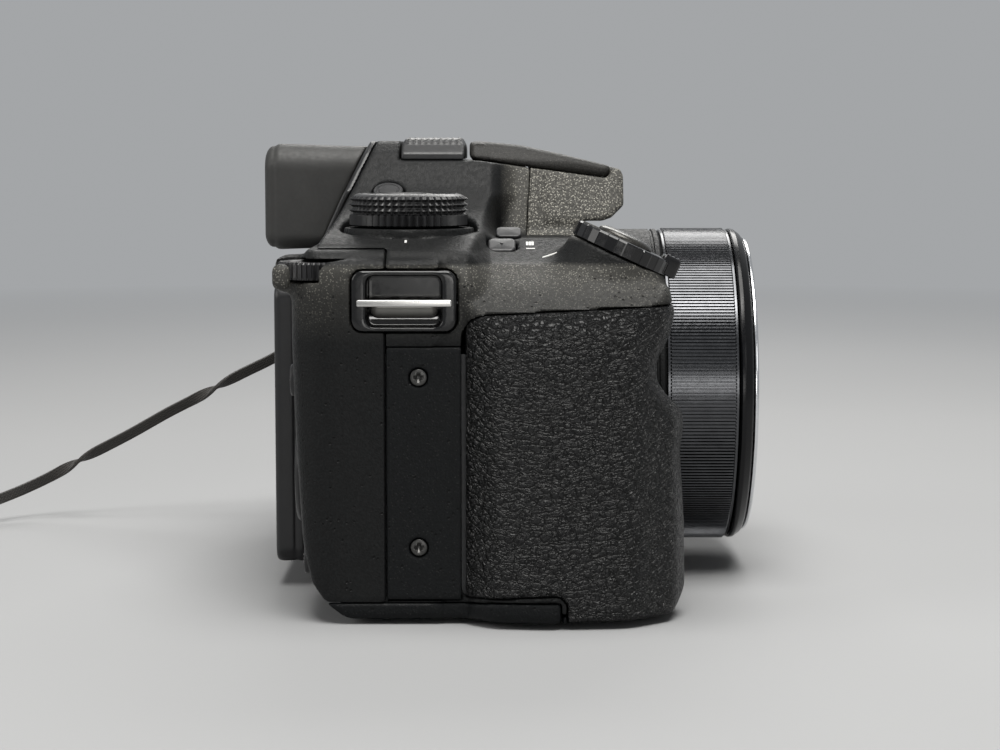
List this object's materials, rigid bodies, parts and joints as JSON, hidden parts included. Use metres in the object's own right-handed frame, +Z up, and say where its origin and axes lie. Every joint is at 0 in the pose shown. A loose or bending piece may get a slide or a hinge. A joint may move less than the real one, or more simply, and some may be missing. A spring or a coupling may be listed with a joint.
{
  "type": "bridge camera",
  "caption": "Bridge camera with a fixed zoom lens, rubber grip, electronic finder, pop-up flash, tilting rear monitor, mode dial and a tethered lens cap.",
  "frame": {"origin": "mouth of the tripod socket, on the base plane under the lens axis", "axes": "+Z up, the lens looks along -Y, the hand grip is on the -X side"},
  "size_m": [0.1272, 0.2387, 0.0865],
  "materials": {
    "body_plastic": "fine speckled black",
    "grip_rubber": "leather grain",
    "eyecup_rubber": "satin",
    "gloss_black": "gloss",
    "satin_black": "satin",
    "ring_metal": "dark semi gloss",
    "trim_chrome": "bright",
    "bright_steel": "brushed",
    "screw_steel": "dark zinc",
    "frame_aluminium": "plain",
    "board_green": "solder resist",
    "sensor_blue": "gloss",
    "lamp_red": "clear dark red",
    "flash_diffuser": "frosted",
    "pack_grey": "plain",
    "lens_glass": "coated",
    "screen_glass": "gloss",
    "tether_tape": "woven tape"
  },
  "bodies": {
    "camera": {"front_cover": "body_plastic", "rear_cover": "body_plastic", "top_cover": "body_plastic", "base_cover": "body_plastic", "grip_rubber": "grip_rubber", "side_panel": "body_plastic", "case_screws": "screw_steel", "lug_frame_right": "gloss_black", "lug_frame_left": "gloss_black", "lug_bars": "bright_steel", "tripod_socket": "bright_steel", "chassis": "frame_aluminium", "circuit_boards": "board_green", "lamp_window": "lamp_red", "image_sensor": "sensor_blue", "lens_base": "body_plastic", "front_bezel": "gloss_black", "guide_rods": "bright_steel", "eyecup": "eyecup_rubber", "eyepiece_lens": "lens_glass", "finder_display": "sensor_blue", "mic_cover": "satin_black", "flash_capacitor": "satin_black", "battery": "pack_grey", "memory_card": "sensor_blue", "door_pin": "bright_steel", "socket_block": "bright_steel", "lens_cap": "satin_black", "cap_tether": "tether_tape"},
    "control_ring": {"lens_ring": "ring_metal"},
    "outer_barrel": {"outer_barrel": "satin_black"},
    "inner_barrel": {"inner_barrel": "satin_black", "trim_ring": "trim_chrome", "front_lens": "lens_glass"},
    "variator": {"variator": "lens_glass"},
    "diopter_wheel": {"diopter_wheel": "satin_black"},
    "flash": {"flash_lid": "body_plastic", "flash_head": "flash_diffuser"},
    "battery_door": {"battery_door": "body_plastic"},
    "door_lock": {"door_lock": "satin_black"},
    "monitor_arm": {"monitor_arm": "satin_black", "monitor_pins": "bright_steel"},
    "monitor": {"monitor_case": "satin_black", "monitor_panel": "sensor_blue", "monitor_glass": "screen_glass"},
    "mode_dial": {"mode_dial": "satin_black"},
    "zoom_lever": {"zoom_lever": "gloss_black"},
    "shutter_button": {"shutter_button": "satin_black"},
    "custom_button": {"custom_button": "satin_black"},
    "focus_button": {"focus_button": "satin_black"},
    "power_button": {"power_button": "satin_black"},
    "thumb_dial": {"thumb_dial": "satin_black"},
    "control_pad": {"control_pad": "satin_black"},
    "centre_button": {"centre_button": "satin_black"},
    "movie_button": {"movie_button": "satin_black"},
    "play_button": {"play_button": "satin_black"},
    "menu_button": {"menu_button": "satin_black"},
    "delete_button": {"delete_button": "satin_black"},
    "connector_cover": {"connector_cover": "body_plastic"},
    "focus_switch": {"focus_switch": "satin_black"}
  },
  "joints": [
    {"name": "ring_turn", "type": "hinge", "parent": "camera", "child": "control_ring", "pos_m": [0, -0.039, 0.0361], "axis": [0, -1, 0], "continuous": true},
    {"name": "zoom_outer", "type": "slide", "parent": "camera", "child": "outer_barrel", "axis": [0, -1, 0], "range_m": [0, 0.02]},
    {"name": "zoom_inner", "type": "slide", "parent": "outer_barrel", "child": "inner_barrel", "axis": [0, -1, 0], "range_m": [0, 0.02]},
    {"name": "variator_slide", "type": "slide", "parent": "camera", "child": "variator", "axis": [0, -1, 0], "range_m": [0, 0.014]},
    {"name": "diopter_turn", "type": "hinge", "parent": "camera", "child": "diopter_wheel", "pos_m": [0.0229, 0.029, 0.072], "axis": [1, 0, 0], "range_deg": [-150, 150]},
    {"name": "flash_raise", "type": "hinge", "parent": "camera", "child": "flash", "pos_m": [0, 0.0039, 0.0833], "axis": [-1, 0, 0], "range_deg": [0, 50]},
    {"name": "door_swing", "type": "hinge", "parent": "camera", "child": "battery_door", "pos_m": [-0.0368, 0.01, 0.0011], "axis": [0, -1, 0], "range_deg": [0, 80]},
    {"name": "door_unlock", "type": "slide", "parent": "battery_door", "child": "door_lock", "axis": [0, 1, 0], "range_m": [0, 0.003]},
    {"name": "arm_tilt", "type": "hinge", "parent": "camera", "child": "monitor_arm", "pos_m": [0.0065, 0.0373, 0.0024], "axis": [-1, 0, 0], "range_deg": [0, 40]},
    {"name": "monitor_tilt", "type": "hinge", "parent": "monitor_arm", "child": "monitor", "pos_m": [0.0065, 0.0374, 0.0573], "axis": [1, 0, 0], "range_deg": [0, 85]},
    {"name": "mode_turn", "type": "hinge", "parent": "camera", "child": "mode_dial", "pos_m": [-0.045, 0.0169, 0.0725], "axis": [0, 0, 1], "continuous": true},
    {"name": "zoom_lever_turn", "type": "hinge", "parent": "camera", "child": "zoom_lever", "pos_m": [-0.053, -0.0214, 0.0649], "axis": [0, -0.4226, 0.9063], "range_deg": [-20, 20], "stiffness_Nm_per_rad": 0.02},
    {"name": "shutter_press", "type": "slide", "parent": "camera", "child": "shutter_button", "axis": [0, 0.4226, -0.9063], "range_m": [0, 0.0009], "stiffness_N_per_m": 1500},
    {"name": "custom_button_press", "type": "slide", "parent": "camera", "child": "custom_button", "axis": [0.4226, 0, -0.9063], "range_m": [0, 0.0005], "stiffness_N_per_m": 2000},
    {"name": "focus_button_press", "type": "slide", "parent": "camera", "child": "focus_button", "axis": [0.4226, 0, -0.9063], "range_m": [0, 0.0005], "stiffness_N_per_m": 2000},
    {"name": "power_button_press", "type": "slide", "parent": "camera", "child": "power_button", "axis": [0.5, 0, -0.866], "range_m": [0, 0.0005], "stiffness_N_per_m": 2000},
    {"name": "thumb_turn", "type": "hinge", "parent": "camera", "child": "thumb_dial", "pos_m": [-0.0582, 0.0324, 0.0626], "axis": [0, 0, 1], "continuous": true},
    {"name": "pad_rock", "type": "hinge", "parent": "camera", "child": "control_pad", "pos_m": [-0.0495, 0.0374, 0.025], "axis": [1, 0, 0], "range_deg": [-2, 2], "stiffness_Nm_per_rad": 0.3},
    {"name": "centre_button_press", "type": "slide", "parent": "camera", "child": "centre_button", "axis": [0, -1, 0], "range_m": [0, 0.0005], "stiffness_N_per_m": 2000},
    {"name": "movie_button_press", "type": "slide", "parent": "camera", "child": "movie_button", "axis": [0, -1, 0], "range_m": [0, 0.0005], "stiffness_N_per_m": 2000},
    {"name": "play_button_press", "type": "slide", "parent": "camera", "child": "play_button", "axis": [0, -1, 0], "range_m": [0, 0.0005], "stiffness_N_per_m": 2000},
    {"name": "menu_button_press", "type": "slide", "parent": "camera", "child": "menu_button", "axis": [0, -1, 0], "range_m": [0, 0.0005], "stiffness_N_per_m": 2000},
    {"name": "delete_button_press", "type": "slide", "parent": "camera", "child": "delete_button", "axis": [0, -1, 0], "range_m": [0, 0.0005], "stiffness_N_per_m": 2000},
    {"name": "flap_open", "type": "hinge", "parent": "camera", "child": "connector_cover", "pos_m": [0.0483, 0.0305, 0.027], "axis": [0, 0, 1], "range_deg": [0, 100]},
    {"name": "focus_slide", "type": "slide", "parent": "camera", "child": "focus_switch", "axis": [0, 0, 1], "range_m": [-0.002, 0.002]}
  ],
  "couplings": [
    {"joint": "zoom_inner", "follows": "zoom_outer", "ratio": 1},
    {"joint": "variator_slide", "follows": "zoom_outer", "ratio": 0.7}
  ]
}
